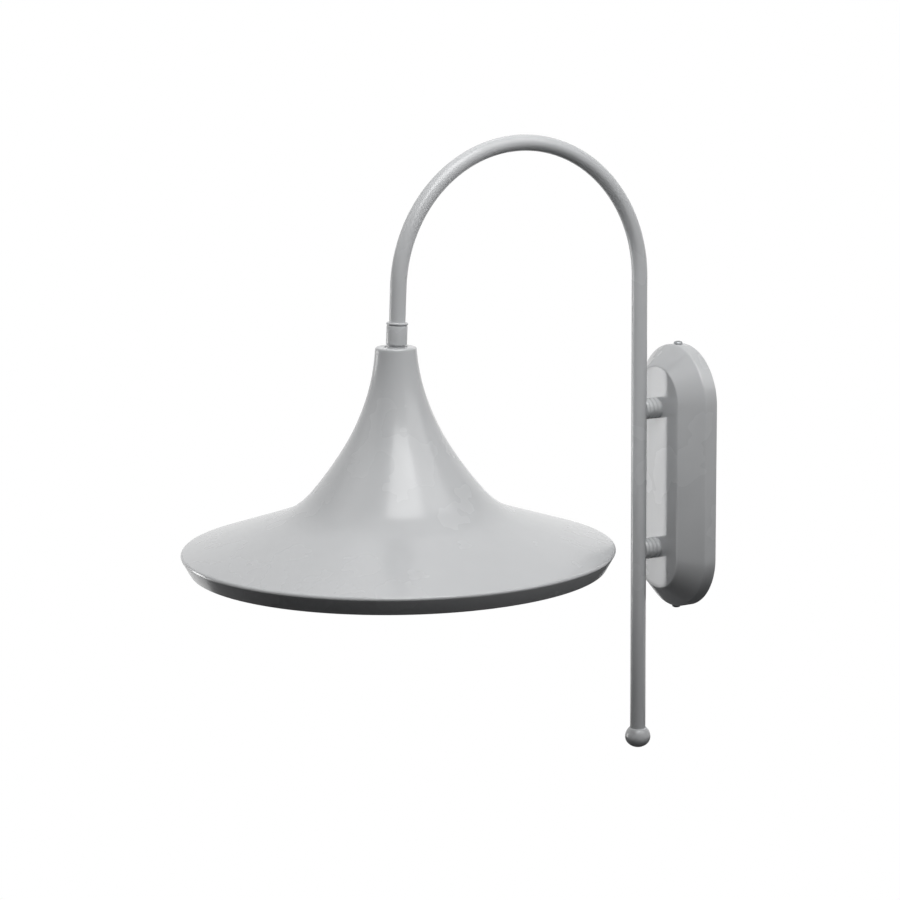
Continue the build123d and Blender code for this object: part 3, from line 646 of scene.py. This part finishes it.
def makeHolderSkirt():
    h = holderShape
    s = skirtShape
    outer = h["radius"]
    inner = outer - h["wall"]
    seam = h["top"] - h["cap"] - s["seam"]
    threadTop = h["top"] - h["cap"] - s["ridgesFrom"]
    mouth = h["top"] - s["height"]
    ringTop = mouth + s["ringHeight"]
    ring = outer + s["ringStep"]
    edge = s["mouthEdge"]
    groove = outer - s["grooveDepth"]
    profile = [(inner, seam), (outer - h["edge"], seam), (outer, seam - h["edge"]), (outer, threadTop)]
    for i in range(s["ridges"]):
        z = threadTop - i * s["ridgePitch"]
        profile += [(outer, z), (groove, z - s["grooveStart"]), (groove, z - s["grooveFloor"]),
                    (outer, z - s["grooveEnd"])]
    profile += [(outer, ringTop + s["seam"]), (ring - h["edge"], ringTop - s["ringShoulder"]),
                (ring, ringTop - s["ringSlope"]), (ring, mouth + edge), (ring - edge, mouth),
                (s["mouthRadius"] + edge, mouth), (s["mouthRadius"], mouth + edge),
                (s["mouthRadius"], mouth + s["mouthFloor"]), (inner, mouth + s["mouthFloor"]), (inner, seam)]
    skirt = turnOnLathe("holderSkirt", profile, h["steps"])
    onLeg(skirt)
    smooth(skirt, 35)
    finishPiece(skirt, blackHolder, "holder_plastic", "arm", "holder_skirt")


makeHolderCap()
makeHolderSkirt()


shellShape = {"top": -40.5, "bottom": -63.5, "radius": 13.9, "wall": 0.6, "pitch": 3.6, "wave": 0.55, "bareEnd": 0.6,
              "fade": 6, "skin": 0.3, "sides": 72, "rings": 60}


def makeShell():
    # a grid bent into a tube, whose radius rises and falls along a helix as a rolled thread does
    s = shellShape
    clearSelection()
    bpy.ops.mesh.primitive_grid_add(x_subdivisions=s["sides"], y_subdivisions=s["rings"], size=1)
    shell = bpy.context.object
    shell.name = "screwShell"
    height = s["top"] - s["bottom"] - 2 * s["bareEnd"]
    for vertex in shell.data.vertices:
        turn = vertex.co.x + 0.5
        down = vertex.co.y + 0.5
        z = s["bottom"] + s["bareEnd"] + down * height
        fade = min(1, down * s["fade"], (1 - down) * s["fade"])
        wave = math.cos(2 * math.pi * (z / s["pitch"] + turn))
        radius = s["radius"] - s["wall"] / 2 - s["wave"] / 2 + s["wave"] / 2 * wave * fade
        angle = 2 * math.pi * turn
        vertex.co = Vector((radius * math.cos(angle), radius * math.sin(angle), z)) * mm
    tidyNormals(shell)
    applyModifier(shell, "SOLIDIFY", thickness=s["skin"] * mm, offset=0)
    onLeg(shell)
    smooth(shell, 60)
    finishPiece(shell, yellowBrass, "brass", "arm", "screw_shell")


makeShell()


keptFinish = {
    "wall_bracket": stampedSteel, "earth_screw": yellowBrass, "earth_tag": yellowBrass,
    "terminal_block": blockWhite, "terminal_barrels": yellowBrass, "terminal_screws": screwSteel,
    "block_screw": screwSteel, "earth_link": earthInsulation, "hollow_nipples": zincSteel,
    "nipple_washers": zincSteel, "nipple_nuts": zincSteel, "nipple_bushing": blockWhite,
    "tube_foot_plug": zincSteel, "stem_nipple": zincSteel, "stem_lock_nut": zincSteel,
    "holder_grub_screw": screwSteel, "holder_insert": firedCeramic, "centre_contact": yellowBrass,
    "holder_posts": yellowBrass, "holder_post_screws": screwSteel, "live_lead": brownInsulation,
    "earth_lead": earthInsulation, "neutral_lead": blueInsulation,
}
for name, material in keptFinish.items():
    nodes[name].data.materials.clear()
    nodes[name].data.materials.append(material)
print("inner pieces finished")


studio = {"skyTop": 0.42, "skyLow": 0.12, "cardPlace": (0.3, -0.3, -0.42), "cardSize": 1.9,
          "cardColour": (0.08, 0.08, 0.083, 1), "lookAt": (0, -0.2, 0.05),
          "floorSize": 8, "floorHeight": -2.0, "floorColour": (0.8, 0.8, 0.8, 1)}


def whiteToTheEye(tree, shaderOutput):
    # gives the shader to diffuse light only; what is linked beside it shows to the camera and in reflections
    path = tree.nodes.new("ShaderNodeLightPath")
    first = tree.nodes.new("ShaderNodeMath")
    first.operation = "MAXIMUM"
    second = tree.nodes.new("ShaderNodeMath")
    second.operation = "MAXIMUM"
    tree.links.new(path.outputs["Is Camera Ray"], first.inputs[0])
    tree.links.new(path.outputs["Is Glossy Ray"], first.inputs[1])
    tree.links.new(first.outputs[0], second.inputs[0])
    tree.links.new(path.outputs["Is Transmission Ray"], second.inputs[1])
    mix = tree.nodes.new("ShaderNodeMixShader")
    tree.links.new(second.outputs[0], mix.inputs["Fac"])
    tree.links.new(shaderOutput, mix.inputs[1])
    return mix


def makeDarkCard():
    # a dark card laid below the light keeps its undersides dark, as in the photograph
    clearSelection()
    bpy.ops.mesh.primitive_plane_add(size=studio["cardSize"], location=studio["cardPlace"])
    card = bpy.context.object
    card.name = "darkCard"
    material, tree, shader = newMaterial("blackCard")
    shader.inputs["Base Color"].default_value = studio["cardColour"]
    shader.inputs["Roughness"].default_value = 0.9
    card.data.materials.append(material)
    card.visible_camera = False


def makeFloor():
    # the light hangs two metres above a pale floor, which is white to the camera like the background
    clearSelection()
    bpy.ops.mesh.primitive_plane_add(size=studio["floorSize"], location=(0, 0, studio["floorHeight"]))
    floor = bpy.context.object
    floor.name = "paleFloor"
    material, tree, shader = newMaterial("floorPaint")
    shader.inputs["Base Color"].default_value = studio["floorColour"]
    shader.inputs["Roughness"].default_value = 0.9
    white = tree.nodes.new("ShaderNodeEmission")
    mix = whiteToTheEye(tree, shader.outputs["BSDF"])
    tree.links.new(white.outputs["Emission"], mix.inputs[2])
    tree.links.new(mix.outputs[0], tree.nodes["Material Output"].inputs["Surface"])
    floor.data.materials.append(material)


def makeSky():
    world = bpy.data.worlds.new("studioSky")
    bpy.context.scene.world = world
    world.use_nodes = True
    tree = world.node_tree
    sky = tree.nodes["Background"]
    place = tree.nodes.new("ShaderNodeTexCoord")
    parts = tree.nodes.new("ShaderNodeSeparateXYZ")
    span = tree.nodes.new("ShaderNodeMapRange")
    span.inputs["From Min"].default_value = -0.1
    span.inputs["From Max"].default_value = 1.0
    span.inputs["To Min"].default_value = studio["skyLow"]
    span.inputs["To Max"].default_value = studio["skyTop"]
    tree.links.new(place.outputs["Generated"], parts.inputs["Vector"])
    tree.links.new(parts.outputs["Z"], span.inputs["Value"])
    tree.links.new(span.outputs["Result"], sky.inputs["Strength"])
    white = tree.nodes.new("ShaderNodeBackground")
    white.inputs["Color"].default_value = (1, 1, 1, 1)
    mix = whiteToTheEye(tree, sky.outputs["Background"])
    tree.links.new(white.outputs["Background"], mix.inputs[2])
    tree.links.new(mix.outputs[0], tree.nodes["World Output"].inputs["Surface"])


def softbox(name, power, size, azimuth, elevation, distance):
    # azimuth is counted from the wall's outward side towards +X
    target = Vector(studio["lookAt"])
    direction = Vector((math.sin(math.radians(azimuth)) * math.cos(math.radians(elevation)),
                        -math.cos(math.radians(azimuth)) * math.cos(math.radians(elevation)),
                        math.sin(math.radians(elevation))))
    bpy.ops.object.light_add(type="AREA", location=target + direction * distance)
    lamp = bpy.context.object
    lamp.name = name
    lamp.data.energy = power
    lamp.data.shape = "RECTANGLE"
    lamp.data.size = size[0]
    lamp.data.size_y = size[1]
    lamp.rotation_euler = direction.to_track_quat("Z", "Y").to_euler()


cameraPlace = {"location": (1768.2, -1251.7, 408.2), "yaw": 60.34, "pitch": -10.08, "roll": -0.57, "lens": 96.0,
               "sensor": 36}


def makeCamera():
    c = cameraPlace
    yaw, pitch, roll = (math.radians(c[key]) for key in ("yaw", "pitch", "roll"))
    forward = Vector((-math.sin(yaw) * math.cos(pitch), math.cos(yaw) * math.cos(pitch), math.sin(pitch)))
    right = Vector((math.cos(yaw), math.sin(yaw), 0))
    up = right.cross(forward)
    tiltedRight = right * math.cos(roll) + up * math.sin(roll)
    tiltedUp = up * math.cos(roll) - right * math.sin(roll)
    camera = bpy.data.objects.new("photoCamera", bpy.data.cameras.new("photoCamera"))
    bpy.context.scene.collection.objects.link(camera)
    camera.data.sensor_width = c["sensor"]
    camera.data.lens = c["lens"]
    turn = Matrix((tiltedRight, tiltedUp, -forward)).transposed().to_4x4()
    camera.matrix_world = Matrix.Translation(Vector(c["location"]) * mm) @ turn
    bpy.context.scene.camera = camera


makeDarkCard()
makeFloor()
makeSky()
softbox("keyBox", power=8.6, size=(0.75, 0.9), azimuth=68, elevation=58, distance=1.3)
softbox("lowLeftBox", power=3.6, size=(0.34, 0.62), azimuth=-56, elevation=-9, distance=1.5)
softbox("leftBox", power=3, size=(1.2, 1.2), azimuth=-25, elevation=35, distance=1.8)
softbox("topBox", power=3.6, size=(1.6, 1.6), azimuth=20, elevation=84, distance=1.0)
softbox("rightBox", power=8.5, size=(1.4, 1.2), azimuth=120, elevation=42, distance=1.6)
makeCamera()
bpy.context.scene.view_settings.view_transform = "Standard"
print("studio ready")
